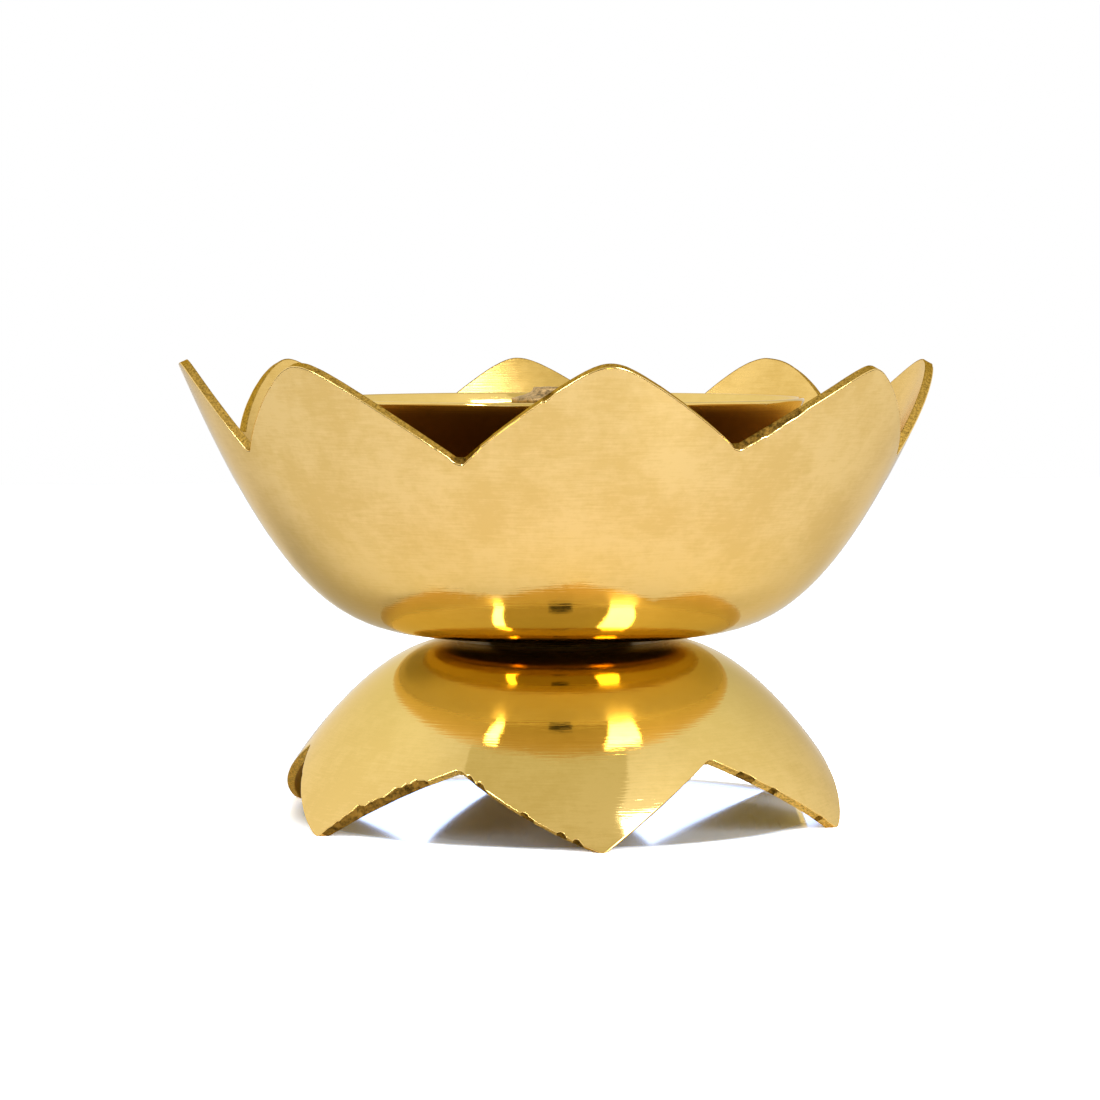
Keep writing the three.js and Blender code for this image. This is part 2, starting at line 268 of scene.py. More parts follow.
# %% [markdown]
# ### The sawn face
#
# A saw leaves a grainy face, and it breaks small chips out of the rim of a brittle casting. Both show in
# the outline against the light, so they are real shape here and not only a bump in the material: the
# rows at the edge slip back along the wall by noise. Sculpting could do it too, but noise with a fixed
# seed gives the same chips in every run.

# %% Chips
CHIP_LUMPS = (40.0, 95.0, 170.0)
RAGGED_LUMPS = (60.0, 150.0, 300.0)
RAGGED = 0.7
CHIP_SEED = 3.5


def chip_depth(angles, cut):
    """How far the show side is broken back behind the saw's line, in metres."""
    chips = wobble(angles, 1.0, cut["seed"] + CHIP_SEED, CHIP_LUMPS) - cut["chip_level"]
    depth = np.maximum(0, chips) * cut["chip_size"]
    for middle, half_width, deep in cut["broken"]:
        away = np.abs((angles - middle + 180) % 360 - 180) / half_width
        fade = np.clip(1 - away**4, 0, 1)
        ragged = 1 + RAGGED * wobble(angles, 1.0, cut["seed"] + middle, RAGGED_LUMPS)
        depth += deep * fade * ragged
    return np.maximum(depth, 0)


# %% Sawing the petals
SHOW_SIDE, HIDDEN_SIDE, SAWN, BROKEN = range(4)
COARSE_GRAIN = 1.7
FINE_GRAIN = 4.1
FINE_SHARE = 0.7
FINE_SHIFT = Vector((5, 5, 5))
# Depths in the wall, 0 on the show side and 1 on the hidden side.
GRAIN_FROM, GRAIN_TO = 0.1, 0.9
SAWN_FROM, SAWN_TO = 0.11, 0.99
HIDDEN_FROM = 0.97


def turned_grid(piece, blank, columns):
    """The column and the row of each vertex of a turned wall, and its angle round the axis."""
    places = vertex_places(piece)
    radius = np.hypot(places[:, 0], places[:, 1])
    height = places[:, 2]
    angle = np.arctan2(places[:, 1], places[:, 0])
    column = np.round(angle / (2 * math.pi) * columns).astype(int) % columns
    away = np.hypot(radius[:, None] - blank[:, 0], height[:, None] - blank[:, 1])
    return column, np.argmin(away, axis=1), angle


def saw_petals(piece, curve, rows, columns, cut):
    """Slides every column of a turned wall to the saw's line, and roughens the sawn face."""
    column, row, angle = turned_grid(piece, section_of(curve, rows), columns)
    places = vertex_places(piece)
    angles = np.arange(columns) * 360 / columns
    end = curve.way_to_height(petal_heights(angles, cut))
    end -= cut["waviness"] * np.abs(wobble(angles, 1.0, cut["seed"]))
    chips = chip_depth(angles, cut)

    share, past, depth = rows[row].T
    broken = chips[column] * np.clip(1 - depth / cut["break_ends_at"], 0, 1)
    way = share * (end[column] - broken - MARGIN) + past
    grainy = (share == 1) & (depth > GRAIN_FROM) & (depth < GRAIN_TO)
    for i in np.nonzero(grainy)[0]:
        spot = Vector(places[i] / MM)
        fine = noise.noise(spot * FINE_GRAIN + FINE_SHIFT)
        grain = noise.noise(spot * COARSE_GRAIN) + FINE_SHARE * fine
        way[i] -= abs(grain) * cut["sawn_roughness"]
    radius, height = curve.place(way, depth).T
    places[:, 0] = radius * np.cos(angle)
    places[:, 1] = radius * np.sin(angle)
    places[:, 2] = np.maximum(height, 0)
    put_vertices(piece, places)
    on_edge = (share == 1) & (depth > SAWN_FROM) & (depth < SAWN_TO)
    side = np.where(on_edge, SAWN, np.where(depth > HIDDEN_FROM, HIDDEN_SIDE, SHOW_SIDE))
    side[on_edge & (chips[column] > cut["broken_from"])] = BROKEN
    return side


# %% [markdown]
# ### The floor of a bowl
#
# The floor is a flat ring round the bore that the stud goes through. It needs far fewer columns than the
# petals, so it isn't part of the turned strip: two small circles are added and bridged to the wall, as
# one would do by hand with Bridge Edge Loops.

# %% Floor round the bore
BORE = 3.25 * MM
BORE_FACETS = 96


def select_rings(piece, rings):
    """Selects the edges that lie on any of some rings of (radius, height), in edit mode."""
    bpy.ops.object.mode_set(mode="OBJECT")
    places = vertex_places(piece)
    radius = np.hypot(places[:, 0], places[:, 1])
    on_ring = np.zeros(len(places), bool)
    for ring_radius, ring_height in rings:
        near = np.abs(radius - ring_radius) < 2 * SAME_SPOT
        on_ring |= near & (np.abs(places[:, 2] - ring_height) < 2 * SAME_SPOT)
    ends = np.zeros(len(piece.data.edges) * 2, int)
    piece.data.edges.foreach_get("vertices", ends)
    chosen = on_ring[ends.reshape(-1, 2)].all(1)
    piece.data.polygons.foreach_set("select", np.zeros(len(piece.data.polygons), bool))
    piece.data.vertices.foreach_set("select", on_ring)
    piece.data.edges.foreach_set("select", chosen)
    bpy.ops.object.mode_set(mode="EDIT")


def add_floor(piece, curve):
    """Closes the floor round the bore: two rings are added and bridged to the wall and each other."""
    bpy.context.view_layer.objects.active = piece
    bpy.ops.object.mode_set(mode="EDIT")
    bpy.ops.mesh.select_mode(type="EDGE")
    rims = [tuple(curve.place(0.0, depth)) for depth in (0, 1)]
    for radius, height in rims:
        bpy.ops.mesh.primitive_circle_add(vertices=BORE_FACETS, radius=BORE, location=(0, 0, height))
        select_rings(piece, [(radius, height), (BORE, height)])
        bpy.ops.mesh.bridge_edge_loops()
    select_rings(piece, [(BORE, rims[0][1]), (BORE, rims[1][1])])
    bpy.ops.mesh.bridge_edge_loops()
    bpy.ops.mesh.select_all(action="SELECT")
    bpy.ops.mesh.normals_make_consistent(inside=False)
    bpy.ops.object.mode_set(mode="OBJECT")
    bpy.ops.object.shade_smooth()


# %% [markdown]
# ### One shell
#
# A shell has up to four metals: the polished show side, the duller hidden side, the sawn edge and the
# broken spots on it. Each face takes the metal of its vertices, and an edge between two metals is
# marked sharp, or smooth shading would smear one metal's light over the other.

# %% Petal shell
NO_METAL = 99


def mark_metal_borders(piece):
    """Marks each edge between two metals as sharp, so that smooth shading stops there."""
    mesh = piece.data
    edge_of_corner = np.zeros(len(mesh.loops), int)
    mesh.loops.foreach_get("edge_index", edge_of_corner)
    corners = np.zeros(len(mesh.polygons), int)
    metal = np.zeros(len(mesh.polygons), int)
    mesh.polygons.foreach_get("loop_total", corners)
    mesh.polygons.foreach_get("material_index", metal)
    metal = np.repeat(metal, corners)
    lowest = np.full(len(mesh.edges), NO_METAL)
    highest = np.zeros(len(mesh.edges), int)
    np.minimum.at(lowest, edge_of_corner, metal)
    np.maximum.at(highest, edge_of_corner, metal)
    mesh.edges.foreach_set("use_edge_sharp", lowest < highest)


def petal_shell(name, curve, columns, row_count, cut):
    """Turns a bowl, saws its petals, closes its floor and numbers its metals by side."""
    rows = wall_rows(row_count)
    piece = turn(name, [tuple(spot) for spot in section_of(curve, rows)], columns)
    side = saw_petals(piece, curve, rows, columns, cut)
    for face in piece.data.polygons:
        face.material_index = max(side[v] for v in face.vertices)
    add_floor(piece, curve)
    mark_metal_borders(piece)
    print(name, "triangles", sum(len(f.vertices) - 2 for f in piece.data.polygons))
    return piece


# %% [markdown]
# ### The flower
#
# Eight petals open from a flat floor to a rim of about 128 mm. The wall is one bezier, which has to be
# level where it leaves the floor and lean out at the rim, so its two handles are set by those slopes.
# A lofted petal that is copied eight times would be easier, but hand-cut petals are never alike, so
# each has its own drift in degrees and its own rise in mm.

# %% Petal bowl
WALL = 1.5 * MM
RIM_LEAN = math.radians(23.8)
RIM_RADIUS = 63.85 * MM
RIM_RUN = 35.2 * MM
RIM_RISE = 45.2 * MM
PETAL_LENGTH = 12.7 * MM
BOWL_FLOOR = 23.2 * MM
BOWL_FLOOR_RUN = 16.7 * MM
bowl_low, bowl_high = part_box("lotus_bowl")
rim_height = bowl_low.z + RIM_RISE
bowl_curve = WallCurve(
    [
        (BOWL_FLOOR, bowl_low.z),
        (BOWL_FLOOR + BOWL_FLOOR_RUN, bowl_low.z),
        (RIM_RADIUS - RIM_RUN * math.sin(RIM_LEAN), rim_height - RIM_RUN * math.cos(RIM_LEAN)),
        (RIM_RADIUS, rim_height),
    ],
    WALL, inwards=1,
)
bowl_cut = {
    "petals": 8, "first_tip": -90, "tip_flat": 0.0, "notch_flat": 0.03,
    "tip_height": rim_height, "notch_height": rim_height - PETAL_LENGTH,
    "roundness": [0.15, 0.09, 0.3, 0.4, 0.16, 0.15, 0.3, 0.17],
    "tip_drift": [-1.3, -2.2, 1.1, -0.2, -0.9, -2.0, 3.4, -3.4],
    "tip_rise": [0, -0.6, -0.2, -0.5, -0.6, -0.5, 0, -0.1],
    "notch_drift": [-2.6, 0.9, 0.7, -3.8, -2.5, -2.0, -1.4, -1.6],
    "notch_rise": [0.2, -2.3, 0.4, -2.2, -0.8, 0, -1.1, -1.8],
    "bow": {-1: [0] * 8, 1: [0] * 8},
    "waviness": 0.12 * MM, "sawn_roughness": 0.07 * MM, "seed": 2.0, "break_ends_at": 1.0,
    "broken_from": 0.2 * MM, "chip_level": 0.55, "chip_size": 0.6 * MM,
    "broken": [(-113, 2.6, 0.4 * MM), (-100, 0.8, 0.4 * MM), (-65.5, 6.0, 0.6 * MM)],
}
petal_bowl = petal_shell("petal_bowl", bowl_curve, columns=1200, row_count=24, cut=bowl_cut)
print("bowl height in mm", round((bowl_high.z - bowl_low.z) / MM, 1))

# %% [markdown]
# ### The foot
#
# The same kind of bowl, upturned: its floor becomes the crown that carries the flower, and its six
# petals are the feet. A bow lets a flank swell out between tip and notch, and the two feet in front
# have their own, as the file left them.

# %% Petal base
FOOT_LEAN = math.radians(15)
FOOT_RADIUS = 49.3 * MM
FOOT_RUN = 6 * MM
ARCH_HEIGHT = 11.8 * MM
CROWN = 18.3 * MM
CROWN_RUN = 14.5 * MM
base_low, base_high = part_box("lotus_base")
base_curve = WallCurve(
    [
        (CROWN, base_high.z),
        (CROWN + CROWN_RUN, base_high.z),
        (FOOT_RADIUS - FOOT_RUN * math.sin(FOOT_LEAN), FOOT_RUN * math.cos(FOOT_LEAN)),
        (FOOT_RADIUS, 0.0),
    ],
    WALL, inwards=-1,
)
base_cut = {
    "petals": 6, "first_tip": -91.5, "tip_flat": 0.0, "notch_flat": 0.02,
    "tip_height": 0.0, "notch_height": ARCH_HEIGHT,
    "roundness": [0.018, 0.05, 0.05, 0.05, 0.05, 0.05],
    "tip_drift": [1.0, -0.3, 0, 0, 1.2, 0.7],
    "tip_rise": [0, 0, 0, 0, 0, 0],
    "notch_drift": [-2.2, -2.0, 0, 0, 3.8, 1.1],
    "notch_rise": [1.0, 1.2, 0, 0, 0.3, -0.1],
    "bow": {-1: [-0.05, 0.26, 0, 0, 0, 0], 1: [0.26, 0.07, 0, 0, 0, 0.37]},
    "waviness": 0.1 * MM, "sawn_roughness": 0.15 * MM, "seed": 11.0, "break_ends_at": 1.0,
    "broken_from": 0.2 * MM, "chip_level": 0.5, "chip_size": 0.7 * MM,
    "broken": [
        (-138.5, 11.5, 1.25 * MM), (-117.3, 0.9, 0.5 * MM), (-114.8, 0.9, 0.8 * MM),
        (-105.2, 0.8, 0.7 * MM), (-98, 0.8, 0.6 * MM), (-95.2, 0.8, 0.5 * MM), (-55, 2.0, 0.3 * MM),
    ],
}
petal_base = petal_shell("petal_base", base_curve, columns=960, row_count=22, cut=base_cut)
print("base height in mm", round((base_high.z - base_low.z) / MM, 1))

# %% [markdown]
# ## The oil cup
#
# The cup is a thin dish with a rolled lip, turned in one go from its boss to its floor. Its wall
# follows a ball, so a few points on two arcs are enough.

# %% Oil cup
CUP_WALL = 0.8 * MM
CUP_RIM = 40.8 * MM
CUP_BOSS = 7.5 * MM
CUP_SEAT = 9.5 * MM
CUP_DEPTH = 28 * MM
BOSS_DROP = 3.5 * MM
BOSS_CHAMFER = 0.3 * MM
SEAT_STEP = 1 * MM
TAP_ROOF = 1.5 * MM
LIP = CUP_WALL / 2
ARC_POINTS = 30
LIP_POINTS = 9
QUARTER = math.pi / 2


def arc(centre_height, radius, start, stop):
    """Points on a ball's section, as (radius, height), for angles from straight down."""
    angles = np.linspace(start, stop, ARC_POINTS)
    return [(radius * math.sin(a), centre_height - radius * math.cos(a)) for a in angles]


cup_low, cup_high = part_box("oil_cup")
holder_low, holder_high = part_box("wick_holder")
lip_middle = CUP_RIM - LIP
wall_rise = CUP_DEPTH - CUP_WALL
ball = (lip_middle**2 + wall_rise**2) / (2 * wall_rise)
ball_height = cup_low.z + BOSS_DROP + LIP + ball
lip_angle = math.asin(lip_middle / ball)
boss_angle = math.asin(CUP_BOSS / (ball + LIP))
seat_angle = math.asin(CUP_SEAT / (ball - LIP))
lip_spot = (ball * math.sin(lip_angle), ball_height - ball * math.cos(lip_angle))
lip_round = [
    (lip_spot[0] + LIP * math.cos(a), lip_spot[1] + LIP * math.sin(a))
    for a in np.linspace(lip_angle - QUARTER, lip_angle + QUARTER, LIP_POINTS)[1:-1]
]
tap_end = holder_low.z - TAP_ROOF
cup_section = [
    (0.0, tap_end), (BORE, tap_end), (BORE, cup_low.z), (CUP_BOSS - BOSS_CHAMFER, cup_low.z),
    (CUP_BOSS, cup_low.z + BOSS_CHAMFER),
    *arc(ball_height, ball + LIP, boss_angle, lip_angle),
    *lip_round,
    *arc(ball_height, ball - LIP, lip_angle, seat_angle),
    (CUP_SEAT - SEAT_STEP, holder_low.z), (0.0, holder_low.z),
]
cup = turn("cup", cup_section, steps=256)
print("cup ball radius in mm", round(ball / MM, 1),
      "cup height in mm", round((cup_high.z - cup_low.z) / MM, 1))


# %% [markdown]
# ## The wick holder
#
# This is the one piece that was never polished. It is a small casting with a flared nozzle, brown and
# rough, with a wavy rim. It is turned as a clean form first, its foot is slotted so that oil can reach
# the wick, and then the surface is pushed about with noise.

# %% Tools for a rough casting
FINER = 2.7


def filled(section, step):
    """The same section with points at most one step apart, so that there is metal to push about."""
    spots = [section[0]]
    for start, stop in zip(section, section[1:]):
        pieces = max(1, math.ceil(math.dist(start, stop) / step))
        for i in range(1, pieces + 1):
            spots.append(tuple(np.add(start, np.subtract(stop, start) * i / pieces)))
    return spots


def cut_away(piece, cutter, operation="DIFFERENCE"):
    """One boolean operation with a tool that is thrown away after it."""
    deselect_all()
    bpy.context.view_layer.objects.active = piece
    piece.select_set(True)
    saw = piece.modifiers.new("saw", "BOOLEAN")
    saw.operation = operation
    saw.object = cutter
    bpy.ops.object.modifier_apply(modifier="saw")
    bpy.data.objects.remove(cutter)


def roughen(piece, depth, size, seed):
    """Pushes every vertex along its normal by noise, like the skin of a sand casting."""
    places = vertex_places(piece)
    normals = np.zeros_like(places)
    piece.data.vertices.foreach_get("normal", normals.ravel())
    for place, normal in zip(places, normals):
        spot = Vector(place / size) + Vector((seed, seed, seed))
        place += normal * depth * (noise.noise(spot) + 0.5 * noise.noise(spot * FINER))
    put_vertices(piece, places)


# %% Wick holder
HOLDER_BORE = 2.2 * MM
HOLDER_FACETS = 128
FLANGE = 8.2 * MM
FLANGE_EDGE = 0.7 * MM
NOZZLE = 4.5 * MM
NOZZLE_MOUTH = 2.7 * MM
NOZZLE_RISE = 1.8 * MM
MOUTH_DROP = 0.5 * MM
FLARE = 5.2 * MM
TAPER = 0.7 * MM
FOOT = 8 * MM
FOOT_THICKNESS = 2 * MM
POST = 4 * MM
SKIN_STEP = 0.5 * MM
flange_top = holder_high.z - NOZZLE_RISE
flange_underside = flange_top - FLANGE_EDGE
nozzle = WallCurve(
    [
        (FLANGE, flange_top), (FLARE, flange_top + TAPER),
        (NOZZLE, holder_high.z - TAPER), (NOZZLE, holder_high.z),
    ],
    MM, inwards=1,
)
section = [
    (HOLDER_BORE, holder_low.z), (FOOT, holder_low.z), (FOOT, holder_low.z + FOOT_THICKNESS),
    (POST, holder_low.z + FOOT_THICKNESS + TAPER), (POST, flange_underside - TAPER),
    (FLANGE, flange_underside),
    *nozzle.show_points(9),
    (NOZZLE_MOUTH, holder_high.z), (HOLDER_BORE, holder_high.z - MOUTH_DROP),
    (HOLDER_BORE, holder_low.z),
]
wick_nozzle = turn("wick_nozzle", filled(section, SKIN_STEP), HOLDER_FACETS)
print("wick holder height in mm", round((holder_high.z - holder_low.z) / MM, 1))

# %% [markdown]
# Two crossed slots under the foot let the oil in. They are sawn before the skin is roughened, so that
# their edges get the same worn look. The flange then waves up and down, more towards its rim.

# %% Slots and skin
SLOT_WIDTH = 2.2 * MM
SLOT_HEIGHT = 3.2 * MM
for quarter in (0, 1):
    deselect_all()
    bpy.ops.mesh.primitive_cube_add(size=1, location=(0, 0, holder_low.z))
    slot = bpy.context.object
    slot.scale = (3 * FOOT, SLOT_WIDTH, 2 * SLOT_HEIGHT)
    slot.rotation_euler.z = quarter * QUARTER
    cut_away(wick_nozzle, slot)

spots = vertex_places(wick_nozzle)
out = np.clip((np.hypot(spots[:, 0], spots[:, 1]) - POST) / (FLANGE - POST), 0, 1)
out *= spots[:, 2] > flange_underside - MM
turned_by = np.degrees(np.arctan2(spots[:, 1], spots[:, 0]))
spots[:, 2] += out**2 * wobble(turned_by, strength=0.45 * MM, seed=4.0, lumps=(3.0, 7.0))
put_vertices(wick_nozzle, spots)
roughen(wick_nozzle, depth=0.11 * MM, size=0.9 * MM, seed=3.0)
print("wick_nozzle vertices", len(wick_nozzle.data.vertices))

# %% [markdown]
# ## The stack in the middle
#
# A pillar carries the cup, a ring keeps the two bowls apart, and one threaded stud with a washer and a
# nut holds everything. The photograph doesn't show these pieces, apart from the ring's shadow. They
# are plain turned parts with the small chamfers that a lathe leaves.

# %% Pillar and rings
SMALL_CHAMFER = 0.2 * MM
PILLAR_FOOT = 10 * MM
PILLAR_WAIST = 6 * MM
PILLAR_HEAD = 8.5 * MM
PILLAR_LAND = 1.4 * MM
pillar_low, pillar_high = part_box("cup_pillar")
waist = WallCurve(
    [
        (PILLAR_FOOT, pillar_low.z + PILLAR_LAND), (PILLAR_WAIST, pillar_low.z + 2 * PILLAR_LAND),
        (PILLAR_WAIST, pillar_high.z - 2 * PILLAR_LAND), (PILLAR_HEAD, pillar_high.z - PILLAR_LAND),
    ],
    MM, inwards=1,
)
pillar = turn("pillar", [
    (BORE, pillar_low.z), (PILLAR_FOOT, pillar_low.z),
    *waist.show_points(17),
    (PILLAR_HEAD, pillar_high.z), (BORE, pillar_high.z), (BORE, pillar_low.z),
], steps=128)


def flat_ring(name, node, steps):
    """A washer as wide and thick as its node, with a chamfer on both outer corners."""
    low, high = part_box(node)
    radius = (high.x - low.x) / 2
    print(name, "radius in mm", round(radius / MM, 2), "thickness", round((high.z - low.z) / MM, 2))
    return turn(name, [
        (BORE, low.z), (radius - SMALL_CHAMFER, low.z), (radius, low.z + SMALL_CHAMFER),
        (radius, high.z - SMALL_CHAMFER), (radius - SMALL_CHAMFER, high.z), (BORE, high.z),
        (BORE, low.z),
    ], steps)


neck_ring = flat_ring("neck_ring", "neck_washer", 160)
steel_washer = flat_ring("steel_washer", "base_washer", 96)

# %% [markdown]
# The nut is turned first, with chamfered corners, and its six flats are cut after that, which is why
# every flat ends in a curve.

# %% Nut
NUT_CHAMFER = 0.9 * MM
nut_low, nut_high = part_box("base_nut")
stud_low, stud_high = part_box("centre_stud")
stud_radius = (stud_high.x - stud_low.x) / 2
flats = min(nut_high.x - nut_low.x, nut_high.y - nut_low.y)
corner = flats / 2 / math.cos(math.pi / 6)
hexagon_nut = turn("hexagon_nut", [
    (stud_radius, nut_low.z), (flats / 2, nut_low.z), (corner, nut_low.z + NUT_CHAMFER / 2),
    (corner, nut_high.z - NUT_CHAMFER / 2), (flats / 2, nut_high.z), (stud_radius, nut_high.z),
    (stud_radius, nut_low.z),
], steps=96)
deselect_all()
bpy.ops.mesh.primitive_cylinder_add(
    vertices=6, radius=corner, depth=4 * (nut_high.z - nut_low.z), location=(0, 0, nut_low.z),
)
prism = bpy.context.object
if nut_high.x - nut_low.x >= nut_high.y - nut_low.y:
    prism.rotation_euler.z = math.pi / 6
cut_away(hexagon_nut, prism, "INTERSECT")
deselect_all()
hexagon_nut.select_set(True)
bpy.ops.object.shade_flat()
print("nut across flats in mm", round(flats / MM, 2))

# %% [markdown]
# The stud's thread is one triangle wave that climbs by its pitch in every turn, so a plain turned bar
# only has to be moved in and out. The Screw modifier can wind a thread too, but then its ends have to
# be closed by hand.

# %% Stud
THREAD_PITCH = 1 * MM
THREAD_DEPTH = 0.6 * MM
ROWS_PER_PITCH = 8
threaded_stud = turn("threaded_stud", filled([
    (0, stud_low.z), (stud_radius - THREAD_DEPTH, stud_low.z),
    (stud_radius, stud_low.z + THREAD_DEPTH), (stud_radius, stud_high.z - THREAD_DEPTH),
    (stud_radius - THREAD_DEPTH, stud_high.z), (0, stud_high.z),
], THREAD_PITCH / ROWS_PER_PITCH), steps=48)
spots = vertex_places(threaded_stud)
radius = np.hypot(spots[:, 0], spots[:, 1])
climb = spots[:, 2] / THREAD_PITCH - np.arctan2(spots[:, 1], spots[:, 0]) / (2 * math.pi)
groove = np.abs(climb % 1 - 0.5) * 2 * THREAD_DEPTH
threaded = radius > stud_radius - THREAD_DEPTH / 2
spots[threaded, :2] *= (1 - groove[threaded] / radius[threaded])[:, None]
put_vertices(threaded_stud, spots)
print("stud radius in mm", round(stud_radius / MM, 2))

# %% [markdown]
# ## The metals
#
# Polished brass is never a mirror. The lathe leaves fine rings, the buffing wheel leaves soft clouds,
# and both show in what the metal reflects more than in its colour. So the colour stays nearly plain
# and the pattern goes into roughness and bump. A photographed metal texture would bring its own light
# and a seam, so all of it is made from noise. A few small helpers keep the node trees short to write.

# %% Node tools
def feed(owner, value, socket):
    """Links another node's output to an input, or sets the input to a plain value."""
    if isinstance(value, bpy.types.NodeSocket):
        owner.node_tree.links.new(value, socket)
    else:
        socket.default_value = value


def add_node(owner, kind, **settings):
    """Adds a shader node; a setting is one of its properties, or feeds one of its inputs by name."""
    node = owner.node_tree.nodes.new(kind)
    for name, value in settings.items():
        if hasattr(node, name):
            setattr(node, name, value)
        else:
            feed(owner, value, node.inputs[name.replace("_", " ")])
    return node


def calculate(owner, operation, *values):
    """One step of arithmetic on sockets or numbers."""
    node = add_node(owner, "ShaderNodeMath", operation=operation)
    for value, socket in zip(values, node.inputs):
        feed(owner, value, socket)
    return node.outputs[0]


def mix(owner, kind, share, first, second):
    """Mixes two values (FLOAT) or two colours (RGBA) by a share of the second."""
    node = add_node(owner, "ShaderNodeMix", data_type=kind, Factor=share, A=first, B=second)
    return node.outputs["Result"]


def remap(owner, value, start, stop, low=0.0, high=1.0, interpolation_type="LINEAR"):
    """Goes from low to high while the value goes from start to stop, and stays level outside."""
    node = add_node(
        owner, "ShaderNodeMapRange", interpolation_type=interpolation_type,
        Value=value, From_Min=start, From_Max=stop, To_Min=low, To_Max=high,
    )
    return node.outputs["Result"]


def colour_ramp(owner, pattern, low, high, dark, pale):
    """Goes from the dark colour to the pale one while a pattern goes from low to high."""
    ramp = add_node(owner, "ShaderNodeValToRGB", Fac=pattern)
    for stop, position, colour in zip(ramp.color_ramp.elements, (low, high), (dark, pale)):
        stop.position = position
        stop.color = (*colour, 1)
    return ramp.outputs["Color"]


def place_in(owner):
    """The place of each point in the piece's own space."""
    return add_node(owner, "ShaderNodeTexCoord").outputs["Object"]


def noise_pattern(owner, vector, scale, detail, roughness):
    node = add_node(owner, "ShaderNodeTexNoise", Scale=scale, Detail=detail, Roughness=roughness)
    feed(owner, vector, node.inputs["Vector"])
    return node.outputs["Fac"]


def noise_bump(owner, vector, scale, detail, distance, under=None, roughness=0.6):
    """A noise pattern on a vector, pressed into the surface over any earlier bump."""
    pattern = noise_pattern(owner, vector, scale, detail, roughness)
    bump = add_node(owner, "ShaderNodeBump", Strength=1.0, Distance=distance, Height=pattern)
    if under is not None:
        feed(owner, under, bump.inputs["Normal"])
    return pattern, bump.outputs["Normal"]


# %% [markdown]
# ### A plain metal
#
# Metal has no colour of its own under the shine: the shine itself is coloured. Brass reflects paler
# where light only skims it, and a sawn or aged face does so less, because dirt sits in its grain.

# %% New metal
BRASS_EDGE = (1.0, 0.9, 0.7)
SAWN_EDGE = (0.8, 0.58, 0.26)


def new_material(name):
    material = bpy.data.materials.new(name)
    material.use_nodes = True
    return material


def shader_of(material):
    return material.node_tree.nodes["Principled BSDF"]


def grey(light):
    return (light, light, light, 1)


def new_metal(name, colour, roughness, edge=BRASS_EDGE):
    """A plain metal; the edge is its colour where the light only skims it."""
    material = new_material(name)
    shader = shader_of(material)
    shader.inputs["Metallic"].default_value = 1.0
    shader.inputs["Base Color"].default_value = (*colour, 1)
    shader.inputs["Roughness"].default_value = roughness
    shader.inputs["Specular Tint"].default_value = (*edge, 1)
    return material


# %% [markdown]
# ### Turning lines
#
# The rings of the lathe follow the wall, not the height. So the pattern is a noise on the place of a
# point, stretched along radius plus height: that sum grows steadily along a wall that leans outwards,
# and radius less height does the same on one that leans inwards. A texture with UVs would do too, but
# the noise needs no seam.

# %% Lathe rings
LEANS_OUT, LEANS_IN = 1.0, -1.0
LATHE_LINES = {"around": 60.0, "across": 2000.0, "depth": 0.01 * MM}
SCRATCHES = {"around": 250.0, "across": 2500.0, "depth": 0.006 * MM}


def radius_in(material, place):
    """The distance of a point from the lathe's axis."""
    apart = add_node(material, "ShaderNodeSeparateXYZ", Vector=place).outputs
    xx = calculate(material, "MULTIPLY", apart["X"], apart["X"])
    yy = calculate(material, "MULTIPLY", apart["Y"], apart["Y"])
    return calculate(material, "SQRT", calculate(material, "ADD", xx, yy)), apart


def ring_bump(material, place, sign, lines, strength, under=None):
    """Presses fine lines into the metal that run round the axis."""
    radius, apart = radius_in(material, place)
    signed = calculate(material, "MULTIPLY", radius, sign)
    along = calculate(material, "ADD", signed, apart["Z"])
    fast = calculate(material, "MULTIPLY", along, lines["across"] / lines["around"])
    vector = add_node(material, "ShaderNodeCombineXYZ", X=apart["X"], Y=apart["Y"], Z=fast)
    return noise_bump(
        material, vector.outputs["Vector"], lines["around"], 2.0, strength * lines["depth"], under,
    )


# %% [markdown]
# ### Polished brass
#
# The wheel reaches the open wall and not the neck. So the metal gets rougher near the axis, and its
# colour turns darker and browner there, which is painted shade where the bowl and the foot face each
# other. Elsewhere a soft cloud pattern makes it a little more and a little less glossy.

# %% Polished brass
BRASS = (0.77, 0.525, 0.18)
PALE_BRASS = (0.86, 0.61, 0.245)
# Painted shade: the colour that the brass turns to near the axis, between the bowl and the foot.
NECK_SHADE_BRASS = (0.665, 0.49, 0.13)
NECK_NEAR = 28 * MM
NECK_FAR = 52 * MM
UNBUFFED_NEAR = 15 * MM
UNBUFFED_FAR = 27 * MM
UNBUFFED_ROUGHNESS = 0.34
CLOUD_SCALE = 75.0
CLOUD_DEPTH = 0.04 * MM
CLOUD_LOW, CLOUD_HIGH = 0.3, 0.7
SMOOTHEST, ROUGHEST = 0.8, 1.25
BLOTCH_LOW, BLOTCH_HIGH = 0.43, 0.57
MOTTLE_SCALE = 500.0
SCRATCH_SHARE = 0.45
CLOUD_SHARE = 0.5


